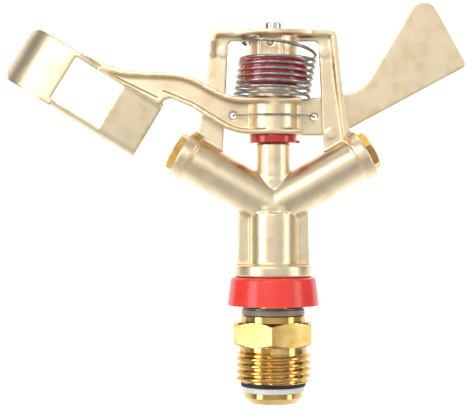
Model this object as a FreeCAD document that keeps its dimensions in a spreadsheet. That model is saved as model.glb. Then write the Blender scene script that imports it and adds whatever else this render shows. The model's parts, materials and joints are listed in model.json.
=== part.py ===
import FreeCAD, Part
import math
import operator
import os
import Sketcher
from FreeCAD import Placement, Rotation, Vector

# Impact sprinkler with a G1/2 inlet. +Z is the swivel axis, pointing up, with the origin at the
# lower end of the inlet thread. The barrels, legs and arm lie along X at rest; -Y is the front.
# All lengths are millimetres and all angles degrees.

DIMENSIONS = {
    "inlet": [
        ("thread_dia", 20.955, "G1/2 major diameter"),
        ("thread_len", 8.0, "threaded length"),
        ("thread_lead_in", 0.45, "chamfer on the thread's first turn"),
        ("undercut_dia", 18.5, "thread undercut"),
        ("hex_flats", 21.0, "spanner size of the nipple"),
        ("hex_low", 9.9, "lower face of the hexagon"),
        ("hex_high", 16.5, "upper face of the hexagon"),
        ("hex_turn", 86.35, "turn of one hexagon corner from +X"),
        ("hex_bevel", 0.9, "height of the bevel at a hexagon corner"),
        ("neck_dia", 17.6, "neck above the hexagon"),
        ("neck_top", 18.3, "upper face of the nipple"),
        ("nipple_bore", 12.2, "bore of the nipple, a running fit on the tube"),
    ],
    "swivel": [
        ("tube_dia", 12.1, "outside of the spindle tube"),
        ("tube_bore", 8.0, "waterway through the tube"),
        ("flange_dia", 16.1, "flange under the seals"),
        ("flange_low", -5.7, "lower face of the flange"),
        ("flange_bevel_low", -4.1, "where the flange starts to taper"),
        ("flange_foot_dia", 13.3, "diameter at the flange's lower face"),
        ("spigot_dia", 10.0, "spigot that screws into the body"),
        ("spigot_top", 38.0, "top of the spigot"),
        ("seal_seat", -2.7, "upper face of the flange"),
        ("white_top", -1.2, "top of the white seal"),
        ("white_dia", 17.1, "white seal"),
        ("black_dia", 17.9, "black seal"),
        ("washer_bore", 12.3, "bore of every loose washer"),
        ("wear_dia", 17.3, "translucent washer on the neck"),
        ("wear_top", 19.8, "top of the translucent washer"),
        ("steel_dia", 16.6, "steel washer"),
        ("steel_top", 20.2, "top of the steel washer"),
        ("bearing_wire", 1.2, "wire of the bearing spring"),
        ("bearing_mean_dia", 15.4, "mean coil diameter of the bearing spring"),
        ("bearing_turns", 4.0, "turns of the bearing spring"),
    ],
    "cap": [
        ("cap_low", 20.9, "rim of the dust cap"),
        ("cap_top", 28.6, "top of the dust cap"),
        ("cap_low_dia", 25.2, "diameter at the rim"),
        ("cap_top_dia", 23.3, "diameter under the rounded edge"),
        ("cap_wall", 1.2, "wall of the cap"),
        ("cap_edge", 1.1, "radius of the cap's outer edge"),
    ],
    "body": [
        ("collar_low", 28.7, "underside of the collar"),
        ("collar_high", 31.9, "top of the collar"),
        ("collar_dia", 21.2, "collar"),
        ("riser_dia", 13.2, "upright tube of the casting"),
        ("wing_low_width", 19.8, "width over both wings at the collar"),
        ("wing_high_width", 19.2, "width over both wings at the barrels"),
        ("wing_thick", 2.0, "thickness of the wings"),
        ("crossing", 48.0, "height where the barrel axes cross"),
        ("barrel_rise", 30.0, "elevation of the barrels"),
        ("barrel_dia", 11.9, "barrel"),
        ("barrel_len", 29.3, "from the crossing to the barrel's face"),
        ("lip_dia", 13.7, "collar at the barrel's mouth"),
        ("lip_len", 3.4, "length of that collar"),
        ("waterway", 8.4, "waterway inside the casting"),
        ("post_dia", 9.35, "post"),
        ("post_top", 65.1, "top of the post"),
        ("post_groove", 56.0, "height of the line round the post"),
        ("pin_hole_end", 57.5, "blind end of the fulcrum pin's hole"),
    ],
    "bridge": [
        ("bridge_top", 95.8, "top of the bridge"),
        ("rim_thick", 1.4, "thickness of the bridge's rim"),
        ("web_half", 1.2, "half the thickness of the bridge's web"),
        ("rim_reach", 4.2, "how far the rim stands from the middle plane"),
        ("window_top", 93.2, "top of the bridge's opening"),
        ("shoulder_half", 16.95, "half width at the top corner"),
        ("shoulder_radius", 2.2, "outer radius of the top corner"),
        ("waist_half", 18.75, "half width at the bend of the leg"),
        ("waist_height", 78.9, "height of that bend"),
        ("foot_half", 20.55, "half width where the leg meets the barrel"),
        ("foot_height", 69.0, "height where the leg meets the barrel"),
        ("inner_top_half", 12.4, "half width of the opening at its top"),
        ("inner_low_half", 13.9, "half width of the opening at the barrel"),
        ("inner_low", 60.5, "where the leg's inner edge ends, inside the barrel"),
        ("plate_half", 10.7, "half length of the bulge in the top plate"),
        ("plate_reach", 10.0, "where the bulge's tangents meet"),
        ("plate_radius", 21.4, "radius of the bulge"),
        ("stub_end", 88.3, "where the short rim has run out"),
        ("stub_start", 92.6, "where the short rim starts to run out"),
        ("boss_dia", 13.5, "boss under the top plate"),
        ("boss_low", 88.0, "underside of the boss"),
        ("slot_width", 5.9, "slot in the front of the boss"),
        ("slot_centre", -0.9, "middle of the slot"),
        ("slot_low", 88.6, "bottom of the slot"),
        ("slot_depth", 2.4, "depth of the slot"),
        ("anchor_hole", 1.7, "hole for the spring's upper end"),
        ("anchor_height", 92.6, "height of that hole"),
        ("mark_dia", 2.7, "ejector mark"),
        ("mark_proud", 0.15, "how far a mark stands out"),
        ("mark_x", 13.7, "the upper marks, from the middle"),
        ("mark_high", 90.2, "height of the upper marks"),
        ("mark_low_x", 15.7, "the lower mark, from the middle"),
        ("mark_low", 67.8, "height of the lower mark"),
    ],
    "nozzle": [
        ("nozzle_hex", 9.7, "spanner size of both nozzles"),
        ("nozzle_proud", 2.1, "how far the hexagon stands out"),
        ("nozzle_bevel", 0.6, "bevel round the hexagon's face"),
        ("shank_dia", 8.6, "nozzle shank"),
        ("shank_len", 7.0, "length of the shank"),
        ("range_orifice", 3.6, "jet of the long-range nozzle"),
        ("spreader_orifice", 2.4, "jet of the spreader nozzle"),
        ("gasket_thick", 0.8, "sealing washer behind each nozzle"),
        ("gasket_bore", 5.0, "bore of that washer"),
        ("vane_len", 9.0, "length of the stream straightener"),
        ("vane_thick", 0.6, "thickness of its vanes"),
    ],
    "pivot": [
        ("pin_dia", 3.2, "fulcrum pin"),
        ("pin_head_dia", 4.6, "head of the pin"),
        ("pin_head_high", 2.6, "height of the head"),
        ("fit_gap", 0.05, "radial clearance of the turning fits"),
        ("seat_gap", 0.02, "radial clearance of the fixed fits"),
        ("lower_flange_dia", 13.0, "flange of the lower bushing"),
        ("lower_flange_low", 65.2, "underside of that flange"),
        ("sleeve_dia", 6.4, "sleeve of both bushings"),
        ("lower_sleeve_top", 73.5, "top of the lower sleeve"),
        ("upper_sleeve_low", 75.0, "bottom of the upper sleeve"),
        ("spool_dia", 18.8, "body of the spring spool"),
        ("spool_lip_dia", 19.4, "lip at the top of the spool"),
        ("spool_low", 81.0, "underside of the spool"),
        ("spool_lip_low", 86.9, "underside of the lip"),
        ("spool_wall", 1.4, "wall of the spool"),
    ],
    "arm": [
        ("hub_dia", 14.3, "hub of the arm"),
        ("hub_low", 67.4, "underside of the hub"),
        ("hub_flange_top", 77.3, "top of the hub's flange"),
        ("hub_top", 80.8, "top of the hub, inside the spring"),
        ("hub_nose_dia", 13.9, "hub above the flange"),
        ("arm_front", 7.15, "front edge of the beam's flanges"),
        ("arm_web_front", 3.0, "front of the beam's web"),
        ("arm_web_back", 1.6, "back of the beam's web"),
        ("flange_thick", 1.3, "thickness of the beam's flanges"),
        ("flange_end", 7.5, "where the flanges end, right of the hub"),
        ("drive_front", 4.6, "front edge of the drive end"),
        ("taper_end", 36.0, "where the beam has narrowed to the drive end"),
        ("drive_x", -50.9, "middle of the drive window"),
        ("drive_z", 79.0, "height of the middle of the drive window"),
        ("drive_tilt", 31.7, "tilt of the drive end"),
        ("drive_high", 8.3, "from that middle to the top edge"),
        ("drive_low", 8.45, "from that middle to the bottom edge"),
        ("drive_left", 23.9, "from that middle to the spoon's end"),
        ("drive_right", 19.7, "from that middle to the inner end"),
        ("window_half_len", 7.6, "half length of the window"),
        ("window_half_high", 6.65, "half height of the window"),
        ("plate_thick", 1.3, "thickness of the spoon and the plate"),
        ("plate_back", 1.9, "back of the plate at the window"),
        ("plate_lean", 1.7, "how much deeper the plate lies at its bottom edge"),
        ("drive_wall", 1.1, "thickness of the channel's walls"),
        ("drive_back", 4.4, "back edge of the channel's walls"),
        ("rail_radius", 2.3, "round of the bottom rail"),
        ("spoon_radius", 14.4, "inner radius of the spoon"),
        ("spoon_sweep", 62.0, "angle that the spoon turns through"),
        ("spoon_start", 9.2, "from the window's middle to the start of the curve"),
        ("spoon_corner", 3.4, "corner radius of the spoon"),
        ("vane_front", 1.6, "front of the balance vane"),
        ("vane_back", 3.1, "back of the balance vane"),
        ("eye_dia", 1.8, "eyes for the retaining wire"),
        ("left_eye", -11.0, "left eye"),
        ("right_eye", 11.4, "right eye"),
        ("eye_height", 72.6, "height of both eyes"),
        ("keeper_dia", 0.5, "retaining wire"),
    ],
    "arm spring": [
        ("coil_wire", 0.9, "wire of the arm spring"),
        ("coil_mean_dia", 20.9, "mean coil diameter"),
        ("coil_low", 78.0, "centre of the first coil"),
        ("coil_pitch", 1.72, "pitch of the coils"),
        ("coil_turns", 6.5, "turns"),
    ],
}


class Size:
    """A number together with the sheet expression that gives it."""

    def __init__(self, value, text):
        self.value = value
        self.text = text

    def __add__(self, other):
        return joined(self, "+", other)

    def __radd__(self, other):
        return joined(other, "+", self)

    def __sub__(self, other):
        return joined(self, "-", other)

    def __rsub__(self, other):
        return joined(other, "-", self)

    def __mul__(self, other):
        return joined(self, "*", other)

    def __rmul__(self, other):
        return joined(other, "*", self)

    def __truediv__(self, other):
        return joined(self, "/", other)

    def __neg__(self):
        return joined(0, "-", self)

    def __float__(self):
        return float(self.value)


SIGNS = {
    "+": operator.add,
    "-": operator.sub,
    "*": operator.mul,
    "/": operator.truediv,
}


def size(number):
    return number if isinstance(number, Size) else Size(number, repr(number))


def joined(left, sign, right):
    left, right = size(left), size(right)
    return Size(SIGNS[sign](left.value, right.value), f"({left.text} {sign} {right.text})")


def cosine(angle):
    return Size(math.cos(math.radians(angle.value)), f"cos({angle.text})")


def sine(angle):
    return Size(math.sin(math.radians(angle.value)), f"sin({angle.text})")


def tangent(angle):
    return sine(angle) / cosine(angle)


class Sizes:
    """Every driving dimension, as an attribute named after its alias in the sheet."""

    def __init__(self, doc):
        sheet = doc.addObject("Spreadsheet::Sheet", "sizes")
        row = 1
        for group, entries in DIMENSIONS.items():
            sheet.set(f"A{row}", group)
            row += 1
            for alias, value, note in entries:
                sheet.set(f"A{row}", alias)
                sheet.set(f"B{row}", str(value))
                sheet.set(f"C{row}", note)
                sheet.setAlias(f"B{row}", alias)
                setattr(self, alias, Size(value, f"sizes.{alias}"))
                row += 1


doc = FreeCAD.newDocument("impact_sprinkler")
d = Sizes(doc)
doc.recompute()


# ---- sketches -------------------------------------------------------------------------------


def origin_feature(body, role):
    return next(f for f in body.Origin.OriginFeatures if f.Role == role)


def bind(target, path, number):
    target.setExpression(path, size(number).text)


def new_body(label):
    body = doc.addObject("PartDesign::Body", label)
    body.Label = label
    return body


def new_sketch(body, name, role="XZ_Plane", shift=(0, 0, 0), turn=0):
    """A sketch on one of the body's own planes, shifted and turned within that plane."""
    sketch = body.newObject("Sketcher::SketchObject", name)
    sketch.AttachmentSupport = [(origin_feature(body, role), "")]
    sketch.MapMode = "FlatFace"
    place = Placement(Vector(*map(float, shift)), Rotation(Vector(0, 0, 1), float(turn)))
    sketch.AttachmentOffset = place
    for axis, number in zip("xyz", shift):
        if isinstance(number, Size):
            bind(sketch, f".AttachmentOffset.Base.{axis}", number)
    if isinstance(turn, Size):
        bind(sketch, ".AttachmentOffset.Rotation.Angle", turn)
    return sketch


def dimension(sketch, kind, *where):
    """Adds a dimension whose last argument is its size, bound to the sheet."""
    *points, number = where
    index = sketch.addConstraint(Sketcher.Constraint(kind, *points, float(number)))
    if isinstance(number, Size):
        bind(sketch, f"Constraints[{index}]", number)


def locate(sketch, geometry, point, x, y):
    """Dimensions one point of a sketch from the sketch's origin."""
    for kind, number in (("DistanceX", x), ("DistanceY", y)):
        dimension(sketch, kind, -1, 1, geometry, point, number)


def cut_corner(before, corner, after, radius):
    """Where a round of this radius leaves the two sides of a corner, and its middle point."""
    back, ahead = (before - corner).normalize(), (after - corner).normalize()
    half = back.getAngle(ahead) / 2
    start = corner + back * (radius / math.tan(half))
    end = corner + ahead * (radius / math.tan(half))
    middle = corner + (back + ahead).normalize() * (radius / math.sin(half) - radius)
    return start, middle, end


def end_at(sketch, geometry, place):
    """Which end of a curve, 1 or 2, lies at this place."""
    first, last = sketch.getPoint(geometry, 1), sketch.getPoint(geometry, 2)
    return 1 if first.distanceToPoint(place) < last.distanceToPoint(place) else 2


def outline(sketch, corners):
    """A closed outline through its corners, each (x, y) or (x, y, radius of its round)."""
    count = len(corners)
    places = [Vector(float(c[0]), float(c[1]), 0) for c in corners]
    rounds = {}
    for i, corner in enumerate(corners):
        if len(corner) == 3:
            neighbours = places[i - 1], places[i], places[(i + 1) % count]
            rounds[i] = cut_corner(*neighbours, float(corner[2]))
    sides = []
    for i in range(count):
        after = (i + 1) % count
        start = rounds[i][2] if i in rounds else places[i]
        end = rounds[after][0] if after in rounds else places[after]
        sides.append(sketch.addGeometry(Part.LineSegment(start, end), False))
    for i, corner in enumerate(corners):
        if i in rounds:
            round_corner(sketch, sides[i - 1], sides[i], corner, rounds[i])
        else:
            sketch.addConstraint(Sketcher.Constraint("Coincident", sides[i - 1], 2, sides[i], 1))
            locate(sketch, sides[i], 1, corner[0], corner[1])


def round_corner(sketch, side_in, side_out, corner, points):
    start, middle, end = points
    arc = sketch.addGeometry(Part.Arc(start, middle, end), False)
    meet = sketch.addGeometry(Part.Point(Vector(float(corner[0]), float(corner[1]), 0)), True)
    for side in (side_in, side_out):
        sketch.addConstraint(Sketcher.Constraint("PointOnObject", meet, 1, side))
    joints = ((side_in, 2, start), (side_out, 1, end))
    for side, side_end, place in joints:
        arc_end = end_at(sketch, arc, place)
        sketch.addConstraint(Sketcher.Constraint("Tangent", side, side_end, arc, arc_end))
    dimension(sketch, "Radius", arc, corner[2])
    locate(sketch, meet, 1, corner[0], corner[1])


def circle(sketch, diameter, x=0, y=0):
    place = Vector(float(x), float(y), 0)
    ring = sketch.addGeometry(Part.Circle(place, Vector(0, 0, 1), float(diameter) / 2), False)
    dimension(sketch, "Diameter", ring, diameter)
    locate(sketch, ring, 3, x, y)


def hexagon(sketch, flats, turn):
    """A regular hexagon about the sketch's origin, with a corner at this turn from +x."""
    reach = flats / 2 / cosine(Size(30, "30"))
    corners = []
    for i in range(6):
        angle = turn + 60 * i
        corners.append((reach * cosine(angle), reach * sine(angle)))
    outline(sketch, corners)


# ---- features -------------------------------------------------------------------------------


def turned(body, name, corners, cut=False, shift=(0, 0, 0), turn=0, about="V_Axis"):
    """Turns a profile of (radius, height) corners, or cuts what it sweeps."""
    sketch = new_sketch(body, name + "_profile", shift=shift, turn=turn)
    outline(sketch, corners)
    kind = "PartDesign::Groove" if cut else "PartDesign::Revolution"
    feature = body.newObject(kind, name)
    feature.Profile = sketch
    feature.ReferenceAxis = (sketch, [about])
    feature.Angle = 360
    feature.Refine = False
    return feature


def swept_solid(body, name, sketch, length, cut=False):
    """Pads a sketch along its normal, or cuts against it."""
    kind = "PartDesign::Pocket" if cut else "PartDesign::Pad"
    feature = body.newObject(kind, name)
    feature.Profile = sketch
    feature.Length = float(length)
    bind(feature, "Length", length)
    feature.Refine = False
    return feature


def slab(body, name, draw, front, back, cut=False, middle=(0, 0), turn=0):
    """A plate parallel to the XZ plane, from y = front to y = back, drawn as (x, z)."""
    start = front if cut else back
    shift = (middle[0], middle[1], -size(start))
    sketch = new_sketch(body, name + "_outline", shift=shift, turn=turn)
    draw(sketch)
    return swept_solid(body, name, sketch, size(back) - front, cut)


def disc(body, name, draw, low, high, cut=False):
    """A plate parallel to the XY plane, from z = low to z = high, drawn as (x, y)."""
    start = high if cut else low
    sketch = new_sketch(body, name + "_outline", "XY_Plane", shift=(0, 0, size(start)))
    draw(sketch)
    return swept_solid(body, name, sketch, size(high) - low, cut)


def drawing(corners):
    return lambda sketch: outline(sketch, corners)


def box_corners(x_low, z_low, x_high, z_high):
    return [(x_low, z_low), (x_high, z_low), (x_high, z_high), (x_low, z_high)]


def ring(label, outside, bore, low, high, edge=0.15):
    """A flat washer with slightly rounded outer edges."""
    body = new_body(label)
    corners = [
        (bore / 2, low),
        (outside / 2, low, edge),
        (outside / 2, high, edge),
        (bore / 2, high),
    ]
    turned(body, label + "_ring", corners)
    return body


# ---- inlet ----------------------------------------------------------------------------------


def inlet_nipple():
    body = new_body("inlet_nipple")
    bore = d.nipple_bore / 2
    thread = d.thread_dia / 2
    under = d.undercut_dia / 2
    neck = d.neck_dia / 2
    corners = [
        (bore, 0),
        (thread - d.thread_lead_in, 0),
        (thread, d.thread_lead_in),
        (thread, d.thread_len),
        (under, d.thread_len + 0.6),
        (under, d.hex_low + 1),
        (neck, d.hex_high - 1),
        (neck, d.neck_top - 0.3),
        (neck - 0.3, d.neck_top),
        (bore, d.neck_top),
    ]
    turned(body, "turned_barrel", corners)
    hexagon_of_nipple(body)
    return body


def hexagon_of_nipple(body):
    sketch = new_sketch(body, "hexagon_outline", "XY_Plane", shift=(0, 0, d.hex_low))
    hexagon(sketch, d.hex_flats, d.hex_turn)
    circle(sketch, d.nipple_bore)
    swept_solid(body, "spanner_hexagon", sketch, d.hex_high - d.hex_low)
    reach = d.hex_flats / 2 / cosine(Size(30, "30"))
    inner = reach - d.hex_bevel / tangent(Size(30, "30"))
    for name, face, back in (
        ("lower_bevel", d.hex_low, 1),
        ("upper_bevel", d.hex_high, -1),
    ):
        corners = [
            (inner, face),
            (reach + 1, face),
            (reach + 1, face + back * (d.hex_bevel + 1 * tangent(Size(30, "30")))),
        ]
        turned(body, name, corners, cut=True)


def spindle_tube():
    body = new_body("spindle_tube")
    bore = d.tube_bore / 2
    outside = d.tube_dia / 2 - d.fit_gap / 2
    corners = [
        (bore, d.flange_low),
        (d.flange_foot_dia / 2, d.flange_low),
        (d.flange_dia / 2, d.flange_bevel_low),
        (d.flange_dia / 2, d.seal_seat, 0.2),
        (outside, d.seal_seat),
        (outside, d.collar_low),
        (d.spigot_dia / 2 - d.seat_gap, d.collar_low),
        (d.spigot_dia / 2 - d.seat_gap, d.spigot_top),
        (bore, d.spigot_top),
    ]
    turned(body, "tube", corners)
    return body


def dust_cap():
    body = new_body("dust_cap")
    low, top = d.cap_low_dia / 2, d.cap_top_dia / 2
    under = d.cap_top - d.cap_wall
    corners = [
        (low - d.cap_wall, d.cap_low),
        (low, d.cap_low),
        (top, d.cap_top, d.cap_edge),
        (d.washer_bore / 2, d.cap_top),
        (d.washer_bore / 2, under),
        (top - d.cap_wall, under, 0.6),
    ]
    turned(body, "shell", corners)
    return body


def helix_spring(label, low, pitch, turns, mean_dia, wire, left_handed):
    """A coil of round wire about Z."""
    body = new_body(label)
    sketch = new_sketch(body, label + "_wire")
    circle(sketch, wire, mean_dia / 2, low)
    coil = body.newObject("PartDesign::AdditiveHelix", label + "_coil")
    coil.Profile = sketch
    coil.ReferenceAxis = (origin_feature(body, "Z_Axis"), [""])
    coil.Mode = "pitch-turns-angle"
    coil.Pitch = float(pitch)
    coil.Turns = float(turns)
    bind(coil, "Pitch", pitch)
    bind(coil, "Turns", turns)
    coil.LeftHanded = left_handed
    return body


def bearing_spring():
    low = d.steel_top + d.bearing_wire / 2
    high = d.cap_top - d.cap_wall - d.bearing_wire / 2
    pitch = (high - low) / d.bearing_turns
    args = low, pitch, d.bearing_turns, d.bearing_mean_dia, d.bearing_wire
    return helix_spring("bearing_spring", *args, left_handed=False)


# ---- body casting ---------------------------------------------------------------------------

NAMES = {1: "_right", -1: "_left"}


def sprinkler_body():
    body = new_body("sprinkler_body")
    riser_with_wings(body)
    for side in (1, -1):
        barrel(body, side)
    bridge(body)
    post_and_boss(body)
    ejector_marks(body)
    waterways(body)
    return body


def riser_with_wings(body):
    riser = d.riser_dia / 2
    collar = d.collar_dia / 2
    corners = [
        (0, d.collar_low),
        (collar, d.collar_low, 0.3),
        (collar, d.collar_high, 0.5),
        (riser, d.collar_high),
        (riser, d.crossing - 2),
        (0, d.crossing - 2),
    ]
    turned(body, "riser", corners)
    low, high = d.wing_low_width / 2, d.wing_high_width / 2
    corners = [
        (-low, d.collar_high - 0.5),
        (low, d.collar_high - 0.5),
        (high, d.crossing),
        (-high, d.crossing),
    ]
    slab(body, "wings", drawing(corners), -d.wing_thick / 2, d.wing_thick / 2)


def barrel_tilt(side):
    """The turn of a barrel's axis from +X, on the right (1) or the left (-1)."""
    return d.barrel_rise if side > 0 else 180 - d.barrel_rise


def barrel(body, side):
    mouth = d.barrel_len - d.lip_len
    lip = d.lip_dia / 2
    root = -d.barrel_dia / 4
    corners = [
        (root, 0),
        (d.barrel_len, 0),
        (d.barrel_len, lip, 0.35),
        (mouth, lip, 0.35),
        (mouth, d.barrel_dia / 2),
        (root, d.barrel_dia / 2),
    ]
    shift = (0, d.crossing, 0)
    turn = barrel_tilt(side)
    turned(body, "barrel" + NAMES[side], corners, shift=shift, turn=turn, about="H_Axis")


def bridge(body):
    """Both legs and the bridge, with a rim in front that runs down the right leg, and its twin."""
    top, thick = d.bridge_top, d.rim_thick
    shoulder = (d.shoulder_half, top, d.shoulder_radius)
    leg = [
        shoulder,
        (d.waist_half, d.waist_height),
        (d.foot_half, d.foot_height, 1.5),
        (d.foot_half + 2.2, d.foot_height - 1.6),
        (d.inner_low_half + 1, d.inner_low),
        (d.inner_low_half, d.inner_low),
        (d.inner_top_half, d.window_top, 1.2),
    ]
    web = leg + mirrored(leg, -1)[::-1]
    slab(body, "web", drawing(web), -d.web_half, d.web_half)
    inner_shoulder = (d.shoulder_half - thick, top - thick, d.shoulder_radius - thick)
    corner_end = top - d.shoulder_radius - 0.4
    short_end = [
        (d.shoulder_half - thick + 0.28, corner_end),
        (d.shoulder_half + 0.38, corner_end),
    ]
    proud_shoulder = (d.shoulder_half + 0.1, top, d.shoulder_radius)
    rim = [
        proud_shoulder,
        (d.waist_half + 0.1, d.waist_height),
        (d.foot_half + 0.1, d.foot_height - 0.7),
        (d.foot_half - 1.5, d.foot_height - 3),
        (d.waist_half - thick, d.waist_height),
        inner_shoulder,
    ]
    rim += mirrored([inner_shoulder] + short_end + [proud_shoulder], -1)
    slab(body, "front_rim", drawing(rim), -d.rim_reach, 0)
    slab(body, "back_rim", drawing(mirrored(rim, -1)), 0, d.rim_reach)
    for side in (1, -1):
        rim_run_out(body, corner_end, side)


def mirrored(corners, side):
    return [(side * size(x), *rest) for x, *rest in corners]


def rim_run_out(body, corner_end, side):
    """Where the short rim runs out into the leg: behind it on the right, in front on the left."""
    left = d.shoulder_half - d.rim_thick + 0.28
    start = left if side > 0 else -(left + d.rim_thick)
    name = "run_out" + NAMES[side]
    sketch = new_sketch(body, name + "_outline", "YZ_Plane", shift=(0, 0, start))
    corners = [
        (d.web_half - 0.4, d.stub_end),
        (d.rim_reach, d.stub_start),
        (d.rim_reach, corner_end),
        (d.web_half - 0.4, corner_end),
    ]
    outline(sketch, mirrored(corners, side))
    swept_solid(body, name, sketch, d.rim_thick)


def post_and_boss(body):
    post = d.post_dia / 2
    groove = d.post_groove
    corners = [
        (0, d.crossing),
        (post, d.crossing),
        (post, groove - 0.2),
        (post - 0.2, groove - 0.2),
        (post - 0.2, groove + 0.15),
        (post, groove + 0.15),
        (post, d.post_top, 0.25),
        (0, d.post_top),
    ]
    turned(body, "post", corners)
    draw = lambda sketch: circle(sketch, d.boss_dia)
    disc(body, "boss", draw, d.boss_low, d.bridge_top - 0.5)
    reach, half = d.plate_reach, d.plate_half
    side = d.rim_reach
    plate = [
        (-half, -side),
        (0, -reach, d.plate_radius),
        (half, -side),
        (half, side),
        (0, reach, d.plate_radius),
        (-half, side),
    ]
    disc(body, "top_plate", drawing(plate), d.bridge_top - d.rim_thick, d.bridge_top)
    left = d.slot_centre - d.slot_width / 2
    slot_top = d.bridge_top - d.rim_thick - 0.3
    slot = box_corners(left, d.slot_low, left + d.slot_width, slot_top)
    front = -d.boss_dia / 2 - 0.5
    wall = -d.boss_dia / 2 + d.slot_depth
    slab(body, "slot", drawing(slot), front, wall, cut=True)
    draw = lambda sketch: circle(sketch, d.anchor_hole, d.slot_centre, d.anchor_height)
    slab(body, "anchor", draw, wall - 0.5, wall + 2, cut=True)


def ejector_marks(body):
    """Three round marks on the front of the legs."""
    places = {
        "mark_left": (-d.mark_x, d.mark_high),
        "mark_right": (d.mark_x + 0.35, d.mark_high),
        "mark_low": (d.mark_low_x, d.mark_low),
    }
    for name, (x, z) in places.items():
        draw = lambda sketch, x=x, z=z: circle(sketch, d.mark_dia, x, z)
        slab(body, name, draw, -d.web_half - d.mark_proud, -d.web_half + 0.3)


def waterways(body):
    way, socket = d.waterway / 2, d.spigot_dia / 2
    corners = [
        (0, d.collar_low - 1),
        (socket, d.collar_low - 1),
        (socket, d.spigot_top),
        (way, d.spigot_top),
        (way, d.crossing),
        (0, d.crossing),
    ]
    turned(body, "socket", corners, cut=True)
    seat = d.barrel_len - d.shank_len - d.gasket_thick
    shank = d.shank_dia / 2 + d.seat_gap
    corners = [
        (-1, 0),
        (d.barrel_len + 1, 0),
        (d.barrel_len + 1, shank),
        (seat, shank),
        (seat, way - 0.4),
        (-1, way - 0.4),
    ]
    for side in (1, -1):
        tilted = {"shift": (0, d.crossing, 0), "turn": barrel_tilt(side), "about": "H_Axis"}
        turned(body, "barrel_bore" + NAMES[side], corners, cut=True, **tilted)
    hole = d.pin_dia / 2 + d.seat_gap
    corners = [
        (0, d.pin_hole_end),
        (hole, d.pin_hole_end),
        (hole, d.bridge_top + 1),
        (0, d.bridge_top + 1),
    ]
    turned(body, "pin_hole", corners, cut=True)


# ---- nozzles --------------------------------------------------------------------------------


def along_barrel(body, side):
    """Stands a body made along +Z, with its origin at the crossing, along one barrel."""
    tilt = 90 - d.barrel_rise
    body.Placement = Placement(
        Vector(0, 0, float(d.crossing)),
        Rotation(Vector(0, 1, 0), side * float(tilt)),
    )
    bind(body, ".Placement.Base.z", d.crossing)
    bind(body, ".Placement.Rotation.Angle", tilt)
    body.Placement.Rotation.Axis = Vector(0, side, 0)


def nozzle(label, orifice, side):
    """A hexagon-headed nozzle with a tapered inside, screwed into a barrel."""
    body = new_body(label)
    face = d.barrel_len
    top = face + d.nozzle_proud
    inner = face - d.shank_len
    corners = [
        (orifice / 2 + 1.6, inner),
        (d.shank_dia / 2, inner),
        (d.shank_dia / 2, face),
        (d.nozzle_hex / 2 - 0.4, face),
        (d.nozzle_hex / 2 - 0.4, top),
        (orifice / 2 + 0.5, top),
        (orifice / 2, top - 0.5),
        (orifice / 2, top - 3),
    ]
    turned(body, "jet", corners)
    reach = d.nozzle_hex / 2 / cosine(Size(30, "30"))
    sketch = new_sketch(body, "head_outline", "XY_Plane", shift=(0, 0, face))
    hexagon(sketch, d.nozzle_hex, Size(15, "15"))
    circle(sketch, orifice + 1)
    swept_solid(body, "head", sketch, d.nozzle_proud)
    inner_edge = reach - d.nozzle_bevel / tangent(Size(30, "30"))
    bevel = [
        (inner_edge, top),
        (reach + 1, top),
        (reach + 1, top - d.nozzle_bevel - 1 * tangent(Size(30, "30"))),
    ]
    turned(body, "bevel", bevel, cut=True)
    along_barrel(body, side)
    return body


def nozzle_gasket(label, side):
    high = d.barrel_len - d.shank_len
    body = ring(label, d.shank_dia - 0.1, d.gasket_bore, high - d.gasket_thick, high, 0.1)
    along_barrel(body, side)
    return body


def stream_straightener():
    """Four vanes in a sleeve, pressed into the range barrel behind the nozzle's gasket."""
    body = new_body("stream_straightener")
    high = d.barrel_len - d.shank_len - d.gasket_thick - 1
    low = high - d.vane_len
    outside = d.waterway / 2 - 0.4 - d.seat_gap
    corners = [
        (outside - d.vane_thick, low),
        (outside, low),
        (outside, high),
        (outside - d.vane_thick, high),
    ]
    turned(body, "sleeve", corners)
    half = d.vane_thick / 2
    across = outside - d.vane_thick / 2
    for name, corners in (
        ("vane_across", box_corners(-across, -half, across, half)),
        ("vane_along", box_corners(-half, -across, half, across)),
    ):
        disc(body, name, drawing(corners), low, high)
    along_barrel(body, -1)
    return body


# ---- pivot ----------------------------------------------------------------------------------


def fulcrum_pin():
    body = new_body("fulcrum_pin")
    pin, head = d.pin_dia / 2, d.pin_head_dia / 2
    top = d.bridge_top + d.pin_head_high
    corners = [
        (0, d.pin_hole_end + 0.2),
        (pin - 0.4, d.pin_hole_end + 0.2),
        (pin, d.pin_hole_end + 0.6),
        (pin, d.bridge_top),
        (head, d.bridge_top),
        (head, top, 0.5),
        (0, top),
    ]
    turned(body, "pin", corners)
    return body


def lower_bushing():
    body = new_body("lower_bushing")
    bore = d.pin_dia / 2 + d.fit_gap
    flange, sleeve = d.lower_flange_dia / 2, d.sleeve_dia / 2
    corners = [
        (bore, d.lower_flange_low),
        (flange, d.lower_flange_low, 0.2),
        (flange, d.hub_low, 0.4),
        (sleeve, d.hub_low),
        (sleeve, d.lower_sleeve_top),
        (bore, d.lower_sleeve_top),
    ]
    turned(body, "bushing", corners)
    middle = d.lower_flange_low + 0.45
    nub = box_corners(flange - 0.3, middle - 0.35, flange + 0.7, middle + 0.35)
    slab(body, "gate_nub", drawing(nub), -0.6, 0.6)
    return body


def upper_bushing():
    bore = d.pin_dia + 2 * d.fit_gap
    return ring("upper_bushing", d.sleeve_dia, bore, d.upper_sleeve_low, d.hub_top, 0.1)


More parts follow.
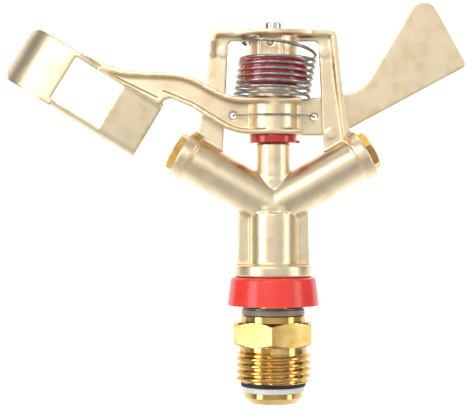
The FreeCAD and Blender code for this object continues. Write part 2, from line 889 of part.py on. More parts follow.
def spring_spool():
    """A cup that keeps the arm spring round, hung from the boss on a small tube."""
    body = new_body("spring_spool")
    outside, lip = d.spool_dia / 2, d.spool_lip_dia / 2
    bore = d.pin_dia / 2 + d.seat_gap
    top = d.boss_low
    wall = d.spool_wall
    corners = [
        (bore, d.spool_low),
        (outside, d.spool_low, 0.4),
        (outside, d.spool_lip_low),
        (lip, d.spool_lip_low + 0.3),
        (lip, top - 0.3, 0.25),
        (outside - wall, top - 0.3),
        (outside - wall, d.spool_low + wall, 0.4),
        (bore + wall, d.spool_low + wall, 0.4),
        (bore + wall, top),
        (bore, top),
    ]
    turned(body, "spool", corners)
    return body


def arm_spring():
    args = d.coil_low, d.coil_pitch, d.coil_turns, d.coil_mean_dia, d.coil_wire
    return helix_spring("arm_spring", *args, left_handed=True)


# ---- arm ------------------------------------------------------------------------------------


def impact_arm():
    body = new_body("impact_arm")
    drive_end(body)
    beam(body)
    balance_vane(body)
    hub(body)
    wire_eyes(body)
    return body


def drive_frame():
    """Placing of the drive end's sketches: x runs down the tilt, y square to it."""
    return {"middle": (d.drive_x, d.drive_z), "turn": -d.drive_tilt}


def drive_end(body):
    spoon(body)
    channel(body)
    window = box_corners(
        -d.window_half_len, -d.window_half_high, d.window_half_len, d.window_half_high
    )
    place = drive_frame()
    slab(body, "window", drawing(window), -10, 12, cut=True, **place)


def spoon(body):
    """The curved blade beyond the window: drawn from above the blade, as (x, depth)."""
    sketch = body.newObject("Sketcher::SketchObject", "spoon_profile")
    sketch.AttachmentSupport = [(origin_feature(body, "XY_Plane"), "")]
    sketch.MapMode = "FlatFace"
    tilt = Rotation(Vector(0, 1, 0), float(d.drive_tilt))
    low = tilt.multVec(Vector(0, 0, -float(d.drive_low)))
    middle = Vector(float(d.drive_x), 0, float(d.drive_z))
    sketch.AttachmentOffset = Placement(middle + low, tilt)
    bind(sketch, ".AttachmentOffset.Base.x", d.drive_x - d.drive_low * sine(d.drive_tilt))
    bind(sketch, ".AttachmentOffset.Base.z", d.drive_z - d.drive_low * cosine(d.drive_tilt))
    bind(sketch, ".AttachmentOffset.Rotation.Angle", d.drive_tilt)
    spoon_outline(sketch)
    swept_solid(body, "spoon", sketch, d.drive_low + d.drive_high)
    trim_spoon(body)


def spoon_outline(sketch):
    """A strip that runs straight from the window, then curves back."""
    outer = d.spoon_radius + d.plate_thick
    back, front = -d.plate_back, -(d.plate_back + d.plate_thick)
    half = d.spoon_sweep / 2
    bend_in = d.spoon_radius * tangent(half)
    bend_out = outer * tangent(half)
    run = 1.5
    cos_sweep, sin_sweep = cosine(d.spoon_sweep), sine(d.spoon_sweep)
    start = -d.spoon_start
    tip_in = (start - bend_in - (bend_in + run) * cos_sweep, back + (bend_in + run) * sin_sweep)
    tip_out = (start - bend_out - (bend_out + run) * cos_sweep, front + (bend_out + run) * sin_sweep)
    corners = [
        (-d.window_half_len + 1, back),
        (-d.window_half_len + 1, front),
        (start - bend_out, front, outer),
        tip_out,
        tip_in,
        (start - bend_in, back, d.spoon_radius),
    ]
    outline(sketch, corners)


def trim_spoon(body):
    """Cuts away everything outside the spoon's rounded end."""
    left, high, low = -d.drive_left, d.drive_high, -d.drive_low
    corner = d.spoon_corner
    outside = [
        (left - 9, low - 4),
        (0, low - 4),
        (0, low),
        (left, low, corner),
        (left, high, corner),
        (0, high),
        (0, high + 4),
        (left - 9, high + 4),
    ]
    slab(body, "spoon_trim", drawing(outside), -12, 22, cut=True, **drive_frame())


def channel(body):
    """The plate, top wall and bottom rail between the spoon and the inner end."""
    start = -d.spoon_start
    length = d.drive_right + d.spoon_start
    sketch = new_channel_sketch(body, start)
    high, low = d.drive_high, -d.drive_low
    wall = d.drive_wall
    back = -d.plate_back
    front = back - d.plate_thick
    lean = d.plate_lean
    rail = d.rail_radius
    corners = [
        (d.drive_back, high),
        (-d.drive_front, high),
        (-d.drive_front, high - wall),
        (front, high - wall),
        (front + lean, low, rail),
        (d.drive_back, low),
        (d.drive_back, low + wall),
        (back + lean, low + wall, rail - wall),
        (back, high - wall),
        (d.drive_back, high - wall),
    ]
    outline(sketch, corners)
    swept_solid(body, "channel", sketch, length)
    cut_back_walls(body)


def new_channel_sketch(body, start):
    """A sketch square to the drive end's length, with x as depth and y up the blade."""
    sketch = body.newObject("Sketcher::SketchObject", "channel_profile")
    sketch.AttachmentSupport = [(origin_feature(body, "YZ_Plane"), "")]
    sketch.MapMode = "FlatFace"
    # On the YZ plane a turn about the sketch's own x tips its normal down by the drive tilt.
    tilt = Rotation(Vector(1, 0, 0), float(d.drive_tilt))
    place = Vector(0, float(d.drive_z), float(d.drive_x)) + tilt.multVec(Vector(0, 0, float(start)))
    sketch.AttachmentOffset = Placement(place, tilt)
    bind(sketch, ".AttachmentOffset.Base.y", d.drive_z - start * sine(d.drive_tilt))
    bind(sketch, ".AttachmentOffset.Base.z", d.drive_x + start * cosine(d.drive_tilt))
    bind(sketch, ".AttachmentOffset.Rotation.Angle", d.drive_tilt)
    return sketch


def cut_back_walls(body):
    """Slopes the channel's walls down to the blade at the spoon."""
    sketch = body.newObject("Sketcher::SketchObject", "wall_slope_outline")
    sketch.AttachmentSupport = [(origin_feature(body, "XY_Plane"), "")]
    sketch.MapMode = "FlatFace"
    tilt = Rotation(Vector(0, 1, 0), float(d.drive_tilt))
    high = tilt.multVec(Vector(0, 0, float(d.drive_high) + 1))
    middle = Vector(float(d.drive_x), 0, float(d.drive_z))
    sketch.AttachmentOffset = Placement(middle + high, tilt)
    above = d.drive_high + 1
    bind(sketch, ".AttachmentOffset.Base.x", d.drive_x + above * sine(d.drive_tilt))
    bind(sketch, ".AttachmentOffset.Base.z", d.drive_z + above * cosine(d.drive_tilt))
    bind(sketch, ".AttachmentOffset.Rotation.Angle", d.drive_tilt)
    start = -d.spoon_start
    behind = [
        (start - 0.5, -d.plate_back),
        (start + 9, d.drive_back + 0.1),
        (start + 9, d.drive_back + 1),
        (start - 0.5, d.drive_back + 1),
    ]
    outline(sketch, behind)
    swept_solid(body, "wall_slope", sketch, d.drive_high + d.drive_low + 2, cut=True)
    place = drive_frame()
    proud = box_corners(start - 0.5, d.drive_high - d.drive_wall - 0.5, 0, d.drive_high + 1)
    front = -(d.plate_back + d.plate_thick)
    slab(body, "proud_trim", drawing(proud), -d.drive_front - 1, front, cut=True, **place)


BEAM_TOP = [(-44.4, 84.8, 36), (-24.0, 84.0, 19), (-11.9, 77.3, 15.5)]
BEAM_BOTTOM = [(-10.7, 67.4, 14), (-22.3, 74.7, 12), (-29.4, 77.8, 2.8)]


def beam(body):
    """The left beam: a web with a flange along its top and its bottom."""
    top, low = d.hub_flange_top, d.hub_low
    end = d.flange_end
    corners = [(-52.2, 89.7)] + BEAM_TOP + [(end, top), (end, low)] + BEAM_BOTTOM + [(-30.8, 75.3)]
    slab(body, "beam", drawing(corners), -d.arm_front, -d.arm_web_back)
    inner = [
        (-46.7, 84.75),
        (-43.9, 83.45, 30),
        (-24.3, 82.7, 17.7),
        (-12.2, 76.0, 16.8),
        (end + 2, 76.0),
        (end + 2, 68.7),
        (-10.4, 68.7, 12.7),
        (-21.8, 75.8, 10.7),
        (-30.2, 79.3),
        (-31.3, 77.2),
    ]
    slab(body, "beam_recess", drawing(inner), -d.arm_front - 1, -d.arm_web_front, cut=True)
    taper = [
        (-12, -d.arm_front),
        (-d.taper_end, -d.drive_front),
        (-60, -d.drive_front),
        (-60, -d.arm_front - 2),
        (-12, -d.arm_front - 2),
    ]
    disc(body, "beam_taper", drawing(taper), 60, 100, cut=True)


def balance_vane(body):
    """The flat vane behind the right-hand leg."""
    corners = [
        (0, 76.8),
        (24.4, 79.4, 9.2),
        (41.8, 108.4, 4.1),
        (53.75, 86.9, 1.4),
        (17.6, 67.5, 18),
        (0, 67.5),
    ]
    slab(body, "vane", drawing(corners), d.vane_front, d.vane_back)


def hub(body):
    hub_r, nose = d.hub_dia / 2, d.hub_nose_dia / 2
    corners = [
        (0, d.hub_low),
        (hub_r, d.hub_low),
        (hub_r, d.hub_flange_top),
        (nose, d.hub_flange_top),
        (nose, d.hub_top, 0.4),
        (0, d.hub_top),
    ]
    turned(body, "hub", corners)
    draw = lambda sketch: circle(sketch, d.sleeve_dia + 2 * d.seat_gap)
    disc(body, "hub_bore", draw, d.hub_low - 1, d.hub_top + 1, cut=True)


def wire_eyes(body):
    for name, x, front, back in (
        ("left_eye", d.left_eye, -d.arm_web_front, -d.arm_web_back),
        ("right_eye", d.right_eye, d.vane_front, d.vane_back),
    ):
        draw = lambda sketch, x=x: circle(sketch, d.eye_dia, x, d.eye_height)
        slab(body, name, draw, front - 0.5, back + 0.5, cut=True)


def retaining_wire():
    """A wire from eye to eye, bowed round the front of the hub, with a short hook at each end."""
    body = new_body("retaining_wire")
    sketch = new_sketch(body, "wire_path", "XY_Plane", shift=(0, 0, d.eye_height))
    reach = d.hub_dia / 2 + d.keeper_dia / 2 + 0.15
    left_back, right_back = -d.arm_web_back + 1.2, d.vane_back + 1.2
    points = [
        (d.left_eye, left_back),
        (d.left_eye, -d.arm_web_front - 1.6),
        (-d.hub_dia / 4, -reach),
        (d.hub_dia / 4, -reach),
        (d.right_eye - 1.4, -2.6),
        (d.right_eye, d.vane_front - 1.4),
        (d.right_eye, right_back),
    ]
    open_path(sketch, points, (1.0, 7, 7, 2.5, 1.6))
    wire = body.newObject("PartDesign::AdditivePipe", "wire")
    section = new_sketch(body, "wire_section", "XZ_Plane", shift=(0, 0, -left_back))
    circle(section, d.keeper_dia, d.left_eye, d.eye_height)
    wire.Profile = section
    wire.Spine = (sketch, [])
    return body


def open_path(sketch, points, radii):
    """A path of straight runs joined by tangent arcs."""
    places = [Vector(float(x), float(y), 0) for x, y in points]
    rounds = [
        cut_corner(places[i], places[i + 1], places[i + 2], float(radius))
        for i, radius in enumerate(radii)
    ]
    starts = [places[0]] + [r[2] for r in rounds]
    ends = [r[0] for r in rounds] + [places[-1]]
    runs = []
    for start, end in zip(starts, ends):
        runs.append(sketch.addGeometry(Part.LineSegment(start, end), False))
    locate(sketch, runs[0], 1, *points[0])
    locate(sketch, runs[-1], 2, *points[-1])
    for i, radius in enumerate(radii):
        corner = (*points[i + 1], radius)
        round_corner(sketch, runs[i], runs[i + 1], corner, rounds[i])


# ---- assembly -------------------------------------------------------------------------------


def washers():
    """The loose washers of the swivel, bottom to top."""
    stack = (
        ("seal_washer_white", d.white_dia, d.seal_seat, d.white_top),
        ("seal_ring_black", d.black_dia, d.white_top, Size(0, "0")),
        ("wear_washer", d.wear_dia, d.neck_top, d.wear_top),
        ("steel_washer", d.steel_dia, d.wear_top, d.steel_top),
    )
    return [ring(name, dia, d.washer_bore, low, high) for name, dia, low, high in stack]


def check(bodies):
    for item in doc.Objects:
        if "Invalid" in item.State or "Error" in item.State:
            raise RuntimeError(f"{item.Label} did not compute: {item.State}")
    for body in bodies:
        shape = body.Shape
        if shape.isNull() or not shape.isValid() or len(shape.Solids) != 1:
            raise RuntimeError(f"{body.Label} is not one valid solid")


def main():
    bodies = [
        inlet_nipple(),
        spindle_tube(),
        *washers(),
        bearing_spring(),
        dust_cap(),
        sprinkler_body(),
        nozzle("range_nozzle", d.range_orifice, -1),
        nozzle("spreader_nozzle", d.spreader_orifice, 1),
        nozzle_gasket("range_nozzle_gasket", -1),
        nozzle_gasket("spreader_nozzle_gasket", 1),
        stream_straightener(),
        fulcrum_pin(),
        lower_bushing(),
        upper_bushing(),
        spring_spool(),
        arm_spring(),
        impact_arm(),
        retaining_wire(),
    ]
    doc.recompute()
    check(bodies)
    os.makedirs("parts", exist_ok=True)
    for body in bodies:
        body.Shape.exportStep(os.path.join("parts", body.Label + ".step"))
        print(f"{body.Label:24s} {body.Shape.Volume:10.2f} mm3")


main()
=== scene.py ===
import json
import math

import bpy
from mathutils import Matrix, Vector


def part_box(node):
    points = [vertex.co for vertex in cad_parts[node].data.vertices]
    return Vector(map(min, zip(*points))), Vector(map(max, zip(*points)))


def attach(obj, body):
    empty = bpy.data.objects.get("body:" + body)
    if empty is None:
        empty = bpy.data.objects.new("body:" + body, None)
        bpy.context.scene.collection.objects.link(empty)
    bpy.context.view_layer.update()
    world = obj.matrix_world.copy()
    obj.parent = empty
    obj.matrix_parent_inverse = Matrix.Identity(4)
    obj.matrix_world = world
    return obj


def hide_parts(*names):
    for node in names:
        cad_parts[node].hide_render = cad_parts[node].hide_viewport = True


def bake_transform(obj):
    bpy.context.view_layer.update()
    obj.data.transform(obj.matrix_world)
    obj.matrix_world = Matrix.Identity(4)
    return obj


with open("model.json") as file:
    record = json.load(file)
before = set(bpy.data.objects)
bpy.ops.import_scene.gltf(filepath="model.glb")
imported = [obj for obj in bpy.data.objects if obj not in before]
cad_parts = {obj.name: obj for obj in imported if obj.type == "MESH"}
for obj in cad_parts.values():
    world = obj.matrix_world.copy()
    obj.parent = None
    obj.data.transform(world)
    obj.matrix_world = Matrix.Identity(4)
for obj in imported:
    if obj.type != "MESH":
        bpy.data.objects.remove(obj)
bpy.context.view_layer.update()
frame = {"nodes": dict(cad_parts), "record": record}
nodes = frame["nodes"]

MM = 0.001


# ---- materials ------------------------------------------------------------------------------


class Finish:
    """A node material with a Principled shader, textured in the object's own millimetres."""

    def __init__(self, name, **sockets):
        self.material = bpy.data.materials.new(name)
        self.material.use_nodes = True
        self.nodes = self.material.node_tree.nodes
        self.links = self.material.node_tree.links
        self.shader = self.nodes["Principled BSDF"]
        for socket, value in sockets.items():
            self.shader.inputs[socket.replace("_", " ")].default_value = value
        place = self.nodes.new("ShaderNodeTexCoord").outputs["Object"]
        scale = self.nodes.new("ShaderNodeVectorMath")
        scale.operation = "SCALE"
        scale.inputs["Scale"].default_value = 1 / MM
        self.links.new(place, scale.inputs[0])
        self.place = scale.outputs[0]

    def noise(self, per_mm, detail=4, rough=0.55):
        texture = self.nodes.new("ShaderNodeTexNoise")
        texture.inputs["Scale"].default_value = per_mm
        texture.inputs["Detail"].default_value = detail
        texture.inputs["Roughness"].default_value = rough
        self.links.new(self.place, texture.inputs["Vector"])
        return texture.outputs["Fac"]

    def rings(self, per_mm):
        """Fine turning lines square to Z."""
        texture = self.nodes.new("ShaderNodeTexWave")
        texture.bands_direction = "Z"
        texture.inputs["Scale"].default_value = per_mm
        texture.inputs["Distortion"].default_value = 0.6
        texture.inputs["Detail"].default_value = 2
        self.links.new(self.place, texture.inputs["Vector"])
        return texture.outputs["Fac"]

    def colour(self, factor, *stops):
        """Runs through stops of (position, colour) as the factor goes from 0 to 1."""
        ramp = self.nodes.new("ShaderNodeValToRGB")
        elements = ramp.color_ramp.elements
        while len(elements) < len(stops):
            elements.new(0.5)
        for element, (position, colour) in zip(elements, stops):
            element.position = position
            element.color = (*colour, 1)
        self.links.new(factor, ramp.inputs[0])
        self.links.new(ramp.outputs[0], self.shader.inputs["Base Color"])

    def roughness(self, factor, low, high):
        spread = self.nodes.new("ShaderNodeMapRange")
        spread.inputs["To Min"].default_value = low
        spread.inputs["To Max"].default_value = high
        self.links.new(factor, spread.inputs["Value"])
        self.links.new(spread.outputs[0], self.shader.inputs["Roughness"])

    def bump(self, *layers):
        """Layers of (factor, height in millimetres, strength)."""
        normal = None
        for factor, height, strength in layers:
            bump = self.nodes.new("ShaderNodeBump")
            bump.inputs["Distance"].default_value = height * MM
            bump.inputs["Strength"].default_value = strength
            self.links.new(factor, bump.inputs["Height"])
            if normal is not None:
                self.links.new(normal, bump.inputs["Normal"])
            normal = bump.outputs[0]
        self.links.new(normal, self.shader.inputs["Normal"])


def cast_brass():
    """Tumbled die-cast brass: champagne, satin, with a fine grain and a few darker patches."""
    f = Finish("cast_brass", Metallic=1.0)
    f.colour(
        f.noise(0.22, 5),
        (0.30, (0.80, 0.64, 0.40)),
        (0.52, (0.90, 0.76, 0.53)),
        (0.75, (0.93, 0.80, 0.58)),
    )
    f.roughness(f.noise(1.6, 6), 0.24, 0.42)
    f.bump((f.noise(0.5, 3), 0.08, 0.3), (f.noise(3.2, 4, 0.7), 0.05, 0.6))
    return f.material


def polished_brass():
    """Turned and polished yellow brass."""
    f = Finish("polished_brass", Metallic=1.0)
    f.colour(f.noise(0.3), (0.35, (0.66, 0.43, 0.13)), (0.65, (0.80, 0.57, 0.23)))
    f.roughness(f.noise(2.0), 0.08, 0.2)
    f.bump((f.rings(3.0), 0.006, 0.25), (f.noise(3), 0.01, 0.2))
    return f.material


def nozzle_brass():
    f = Finish("nozzle_brass", Metallic=1.0)
    f.colour(f.noise(0.5), (0.35, (0.74, 0.42, 0.10)), (0.65, (0.88, 0.58, 0.20)))
    f.roughness(f.noise(2.5), 0.14, 0.3)
    f.bump((f.noise(3.5), 0.02, 0.3))
    return f.material


def steel(name, dark, light, low, high):
    f = Finish(name, Metallic=1.0)
    f.colour(f.noise(0.8), (0.3, dark), (0.7, light))
    f.roughness(f.noise(2.0), low, high)
    f.bump((f.noise(5), 0.01, 0.3))
    return f.material


def plastic(name, dark, light, low, high, **sockets):
    f = Finish(name, **sockets)
    f.colour(f.noise(0.25), (0.35, dark), (0.65, light))
    f.roughness(f.noise(1.2), low, high)
    f.bump((f.noise(1.8, 3), 0.02, 0.25))
    return f.material


FINISHES = {
    "cast_brass": cast_brass(),
    "polished_brass": polished_brass(),
    "nozzle_brass": nozzle_brass(),
    "spring_steel": steel("spring_steel", (0.26, 0.25, 0.25), (0.48, 0.47, 0.46), 0.2, 0.38),
    "pin_steel": steel("pin_steel", (0.62, 0.62, 0.64), (0.80, 0.80, 0.82), 0.12, 0.25),
    "red_cap": plastic(
        "red_cap", (0.90, 0.036, 0.026), (0.98, 0.055, 0.040), 0.22, 0.34, Coat_Weight=0.3
    ),
    "red_bushing": plastic(
        "red_bushing", (0.52, 0.010, 0.014), (0.66, 0.018, 0.024), 0.1, 0.22, Coat_Weight=0.6
    ),
    "white_plastic": plastic(
        "white_plastic", (0.78, 0.77, 0.74), (0.88, 0.87, 0.85), 0.35, 0.5
    ),
    "clear_plastic": plastic(
        "clear_plastic", (0.42, 0.40, 0.35), (0.55, 0.53, 0.47), 0.25, 0.4,
        Transmission_Weight=0.35,
    ),
    "black_rubber": plastic(
        "black_rubber", (0.010, 0.010, 0.010), (0.022, 0.022, 0.021), 0.5, 0.7
    ),
}


def dress(obj, slot):
    obj.data.materials.clear()
    obj.data.materials.append(FINISHES[slot])


SLOTS = {entry["node"]: entry["material_slot"] for entry in frame["record"]["subparts"]}
for name, node in nodes.items():
    dress(node, SLOTS[name])


# ---- mesh helpers ---------------------------------------------------------------------------


def new_mesh(name, verts, faces):
    mesh = bpy.data.meshes.new(name)
    mesh.from_pydata(verts, [], faces)
    mesh.validate()
    mesh.update()
    obj = bpy.data.objects.new(name, mesh)
    bpy.context.scene.collection.objects.link(obj)
    return obj


def smooth(obj, angle=32):
    for polygon in obj.data.polygons:
        polygon.use_smooth = True
    obj.data.set_sharp_from_angle(angle=math.radians(angle))


def stand_in(obj, node, body=None):
    """A piece that takes a CAD node's place, body and finish."""
    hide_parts(node)
    dress(obj, SLOTS[node])
    if body:
        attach(obj, body)


def spun(name, rows, sides, start):
    """A closed skin round Z: each row gives (radius, height) at an angle, and the last joins the first."""
    verts = []
    for row in rows:
        for i in range(sides):
            angle = start + 2 * math.pi * i / sides
            radius, height = row(angle)
            verts.append((radius * math.cos(angle), radius * math.sin(angle), height))
    faces = []
    for low in range(len(rows)):
        high = (low + 1) % len(rows)
        for i in range(sides):
            j = (i + 1) % sides
            faces.append((low * sides + i, low * sides + j, high * sides + j, high * sides + i))
    return new_mesh(name, verts, faces)


def wire(name, points, diameter):
    """A round wire along a smooth line guided by points, with closed ends."""
    curve = bpy.data.curves.new(name, "CURVE")
    curve.dimensions = "3D"
    curve.bevel_depth = diameter / 2
    curve.bevel_resolution = 2
    curve.use_fill_caps = True
    curve.resolution_u = 2
    line = curve.splines.new("NURBS")
    line.points.add(len(points) - 1)
    for point, place in zip(line.points, points):
        point.co = (*place, 1)
    line.order_u = 3
    line.use_endpoint_u = True
    holder = bpy.data.objects.new(name + "_line", curve)
    bpy.context.scene.collection.objects.link(holder)
    bpy.context.view_layer.update()
    shown = holder.evaluated_get(bpy.context.evaluated_depsgraph_get())
    mesh = bpy.data.meshes.new_from_object(shown)
    bpy.data.objects.remove(holder)
    mesh.name = name
    obj = bpy.data.objects.new(name, mesh)
    bpy.context.scene.collection.objects.link(obj)
    smooth(obj, 60)
    return obj


# ---- inlet nipple with its thread -----------------------------------------------------------

THREAD_RADIUS = 10.4775 * MM
THREAD_PITCH = 1.814 * MM
THREAD_DEPTH = 1.162 * MM
THREAD_TOP = 8.0 * MM
THREAD_SHARPNESS = 1.35  # above 1 the wave is clipped, which leaves flat crests and roots
LEAD_IN = 0.75 * MM
LEAD_IN_SLOPE = 1.1
RUN_OUT = 0.5 * MM
RUN_OUT_SLOPE = 1.5
UNDERCUT = 9.25 * MM
UNDERCUT_STEP = 0.1 * MM
BORE = 6.1 * MM
HEX_FLATS = 21.0 * MM
HEX_CORNER = math.radians(86.35)
HEX_LOW, HEX_HIGH = 9.9 * MM, 16.5 * MM
HEX_BEVEL = 0.9 * MM
NECK = 8.8 * MM
NECK_EDGE = 0.3 * MM


def thread_radius(angle, height):
    """A right-hand thread, with a lead-in at its lower end and a run-out at the undercut."""
    phase = height / THREAD_PITCH - angle / (2 * math.pi)
    wave = THREAD_SHARPNESS * math.cos(2 * math.pi * phase)
    tooth = max(-1, min(1, wave))
    radius = THREAD_RADIUS - THREAD_DEPTH / 2 * (1 - tooth)
    lead_in = THREAD_RADIUS - LEAD_IN + height * LEAD_IN_SLOPE
    run_out = UNDERCUT + (THREAD_TOP + RUN_OUT - height) * RUN_OUT_SLOPE
    return max(UNDERCUT - UNDERCUT_STEP, min(radius, lead_in, run_out))


def hexagon_radius(angle, from_face):
    """The hexagon's radius at an angle, cut back by the bevel near its two faces."""
    turn = (angle - HEX_CORNER) % (math.pi / 3) - math.pi / 6
    flat = HEX_FLATS / 2 / math.cos(turn)
    corner = HEX_FLATS / 2 / math.cos(math.pi / 6)
    cone = corner - (HEX_BEVEL - from_face) / math.tan(math.pi / 6)
    return min(flat, cone)


def inlet_nipple():
    low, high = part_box("inlet_nipple")
    thread_steps, bevel_steps, sides = 84, 5, 144
    rows = [lambda angle: (BORE, low.z)]
    for k in range(thread_steps + 1):
        height = THREAD_TOP * k / thread_steps
        rows.append(lambda angle, z=height: (thread_radius(angle, z), z))
    rows.append(lambda angle: (UNDERCUT, THREAD_TOP + RUN_OUT))
    rows.append(lambda angle: (UNDERCUT, HEX_LOW))
    middle = (HEX_HIGH - HEX_LOW) / 2
    depths = [HEX_BEVEL * k / bevel_steps for k in range(bevel_steps + 1)] + [middle]
    for depth in depths:
        rows.append(lambda angle, t=depth: (hexagon_radius(angle, t), HEX_LOW + t))
    for depth in reversed(depths[:-1]):
        rows.append(lambda angle, t=depth: (hexagon_radius(angle, t), HEX_HIGH - t))
    rows.append(lambda angle: (NECK, HEX_HIGH))
    rows.append(lambda angle: (NECK, high.z - NECK_EDGE))
    rows.append(lambda angle: (NECK - NECK_EDGE, high.z))
    rows.append(lambda angle: (BORE, high.z))
    obj = spun("inlet_nipple_threaded", rows, sides, HEX_CORNER)
    smooth(obj, 28)
    stand_in(obj, "inlet_nipple", "inlet")


# ---- springs --------------------------------------------------------------------------------

ARM_WIRE = 0.9 * MM
ARM_RADIUS = 10.35 * MM
ARM_TURNS = 7
ARM_PITCH = 1.6 * MM
ARM_LEAN_LOW, ARM_LEAN_TOP = -0.5 * MM, 1.4 * MM
RISE_STEPS = 14
RISE_INWARD = 1.6 * MM
RISE_HEIGHT = 4.1 * MM
HOOK = ((0.5, 1.1, -0.3), (1.5, 1.3, -0.8))  # in millimetres from the end of the rise
BEARING_WIRE = 1.2 * MM
BEARING_RADIUS = 7.7 * MM
BEARING_TURNS = 4
CAP_ROOF = 1.2 * MM


def helix(radius, low, high, turns, left_handed, per_turn=24):
    """Points along a coil round Z, which starts at +X."""
    points = []
    sign = -1 if left_handed else 1
    count = int(turns * per_turn)
    for k in range(count + 1):
        t = k / count
        angle = sign * 2 * math.pi * turns * t
        height = low + (high - low) * t
        points.append(Vector((radius * math.cos(angle), radius * math.sin(angle), height)))
    return points


def arm_spring():
    """The coil leans towards the vane near its top, and its last turn climbs to the bridge's boss."""
    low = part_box("arm_spring")[0].z + ARM_WIRE / 2
    top = low + ARM_TURNS * ARM_PITCH
    points = helix(ARM_RADIUS, low, top, ARM_TURNS, True)
    for k, point in enumerate(points):
        share = k / (len(points) - 1)
        point.x += ARM_LEAN_LOW + (ARM_LEAN_TOP - ARM_LEAN_LOW) * share
    for k in range(1, RISE_STEPS + 1):
        share = k / RISE_STEPS
        angle = -math.pi * share
        reach = ARM_RADIUS - RISE_INWARD * share
        height = top + RISE_HEIGHT * math.sin(share * math.pi / 2)
        x = reach * math.cos(angle) + ARM_LEAN_TOP * (1 - share)
        points.append(Vector((x, reach * math.sin(angle), height)))
    last = points[-1]
    for step in HOOK:
        points.append(last + Vector(step) * MM)
    obj = wire("arm_spring_coil", points, ARM_WIRE)
    stand_in(obj, "arm_spring")
    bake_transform(obj)


def bearing_spring():
    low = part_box("steel_washer")[1].z + BEARING_WIRE / 2
    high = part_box("dust_cap")[1].z - CAP_ROOF - BEARING_WIRE / 2
    points = helix(BEARING_RADIUS, low, high, BEARING_TURNS, False)
    obj = wire("bearing_spring_coil", points, BEARING_WIRE)
    stand_in(obj, "bearing_spring")
    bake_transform(obj)


# ---- castings -------------------------------------------------------------------------------


def cast(node, body):
    """A copy of the casting, with its edges and inside corners as soft as a mould leaves them."""
    obj = bpy.data.objects.new(node + "_cast", nodes[node].data.copy())
    bpy.context.scene.collection.objects.link(obj)
    remesh = obj.modifiers.new("remesh", "REMESH")
    remesh.mode = "VOXEL"
    remesh.voxel_size = 0.28 * MM
    soften = obj.modifiers.new("soften", "SMOOTH")
    soften.factor = 0.5
    soften.iterations = 5
    bpy.context.view_layer.update()
    shown = obj.evaluated_get(bpy.context.evaluated_depsgraph_get())
    mesh = bpy.data.meshes.new_from_object(shown)
    obj.modifiers.clear()
    obj.data = mesh
    for polygon in mesh.polygons:
        polygon.use_smooth = True
    stand_in(obj, node, body)


inlet_nipple()
arm_spring()
bearing_spring()
cast("sprinkler_body", "head")
cast("impact_arm", "arm")


# ---- studio ---------------------------------------------------------------------------------


def towards_front(tree, place, back, front, low, high):
    """Goes from low at y = back to high at y = front."""
    split = tree.nodes.new("ShaderNodeSeparateXYZ")
    spread = tree.nodes.new("ShaderNodeMapRange")
    spread.inputs["From Min"].default_value = back
    spread.inputs["From Max"].default_value = front
    spread.inputs["To Min"].default_value = low
    spread.inputs["To Max"].default_value = high
    tree.links.new(place, split.inputs[0])
    tree.links.new(split.outputs["Y"], spread.inputs["Value"])
    return spread.outputs[0]


def painted_glow_sweep():
    """White paper with painted light: it glows behind the part and fades to no glow in front, so that the
    metal's undersides mirror a darker floor.
    """
    material = bpy.data.materials.new("painted_glow_sweep")
    material.use_nodes = True
    tree = material.node_tree
    shader = tree.nodes["Principled BSDF"]
    shader.inputs["Base Color"].default_value = (0.5, 0.5, 0.5, 1)
    shader.inputs["Roughness"].default_value = 0.9
    shader.inputs["Emission Color"].default_value = (1, 1, 1, 1)
    place = tree.nodes.new("ShaderNodeTexCoord").outputs["Object"]
    # Painted light: the sweep glows at 0.8 behind the part and fades to no glow in front; no lamp lights it
    # from below.
    glow = towards_front(tree, place, 0.15, -0.15, 0.8, 0.0)
    tree.links.new(glow, shader.inputs["Emission Strength"])
    return material


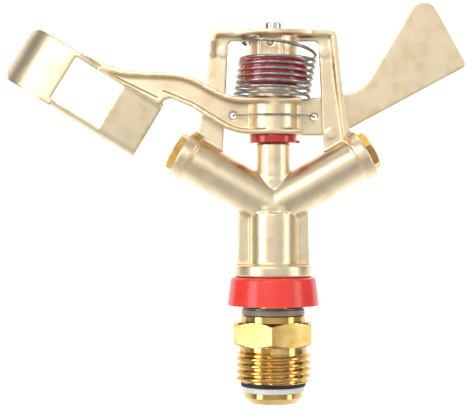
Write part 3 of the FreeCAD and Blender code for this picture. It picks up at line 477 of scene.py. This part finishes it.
def backdrop():
    """A white sweep: a floor well below the part, curving up into a wall behind it."""
    width, front, back, floor, high, bend = 3.0, -1.2, 0.9, -0.16, 1.8, 0.35
    profile = [(front, floor), (back - bend, floor)]
    for k in range(1, 13):
        angle = math.pi / 2 * k / 12
        y = back - bend + bend * math.sin(angle)
        profile.append((y, floor + bend - bend * math.cos(angle)))
    profile.append((back, high))
    verts = [(side * width / 2, y, z) for y, z in profile for side in (-1, 1)]
    faces = [(2 * i, 2 * i + 1, 2 * i + 3, 2 * i + 2) for i in range(len(profile) - 1)]
    sweep = new_mesh("backdrop", verts, faces)
    sweep.data.materials.append(painted_glow_sweep())
    smooth(sweep, 60)


def softbox(name, place, aim, width, height, power, colour=(1, 1, 1)):
    light = bpy.data.lights.new(name, "AREA")
    light.shape = "RECTANGLE"
    light.size, light.size_y = width, height
    light.energy = power
    light.color = colour
    lamp = bpy.data.objects.new(name, light)
    bpy.context.scene.collection.objects.link(lamp)
    lamp.location = place
    lamp.rotation_euler = (Vector(aim) - Vector(place)).to_track_quat("-Z", "Y").to_euler()


def room():
    """A bright room in front of the part, dimmer at its sides."""
    world = bpy.data.worlds.new("studio")
    world.use_nodes = True
    tree = world.node_tree
    background = tree.nodes["Background"]
    background.inputs[0].default_value = (1.0, 0.98, 0.95, 1)
    direction = tree.nodes.new("ShaderNodeTexCoord").outputs["Generated"]
    tree.links.new(towards_front(tree, direction, -0.3, -0.95, 0.22, 0.85), background.inputs[1])
    return world


def studio():
    backdrop()
    centre = (0, 0, 0.05)
    softbox("left_box", (-0.6, -0.40, 0.16), centre, 0.30, 0.9, 2.6)
    softbox("right_box", (0.66, -0.30, 0.16), centre, 0.25, 0.9, 1.6)
    softbox("front_box", (-0.22, -0.75, 0.42), centre, 0.30, 0.3, 1.1)
    softbox("top_box", (0.0, 0.0, 0.8), centre, 0.7, 0.5, 1.6)
    bpy.context.scene.world = room()
    bpy.context.scene.view_settings.view_transform = "Standard"


def camera():
    """Level, straight in front, with the frame raised a little by the lens shift."""
    image_width = 473
    scale = 0.275 * MM
    distance = 0.32
    lens = bpy.data.cameras.new("camera")
    lens.sensor_width = 36
    lens.lens = lens.sensor_width * distance / (image_width * scale)
    lens.shift_y = 0.034
    lens.clip_start = 0.01
    eye = bpy.data.objects.new("camera", lens)
    bpy.context.scene.collection.objects.link(eye)
    eye.location = (-10.1 * MM, -distance, 42.8 * MM)
    eye.rotation_euler = (math.pi / 2, 0, 0)
    bpy.context.scene.camera = eye


studio()
camera()
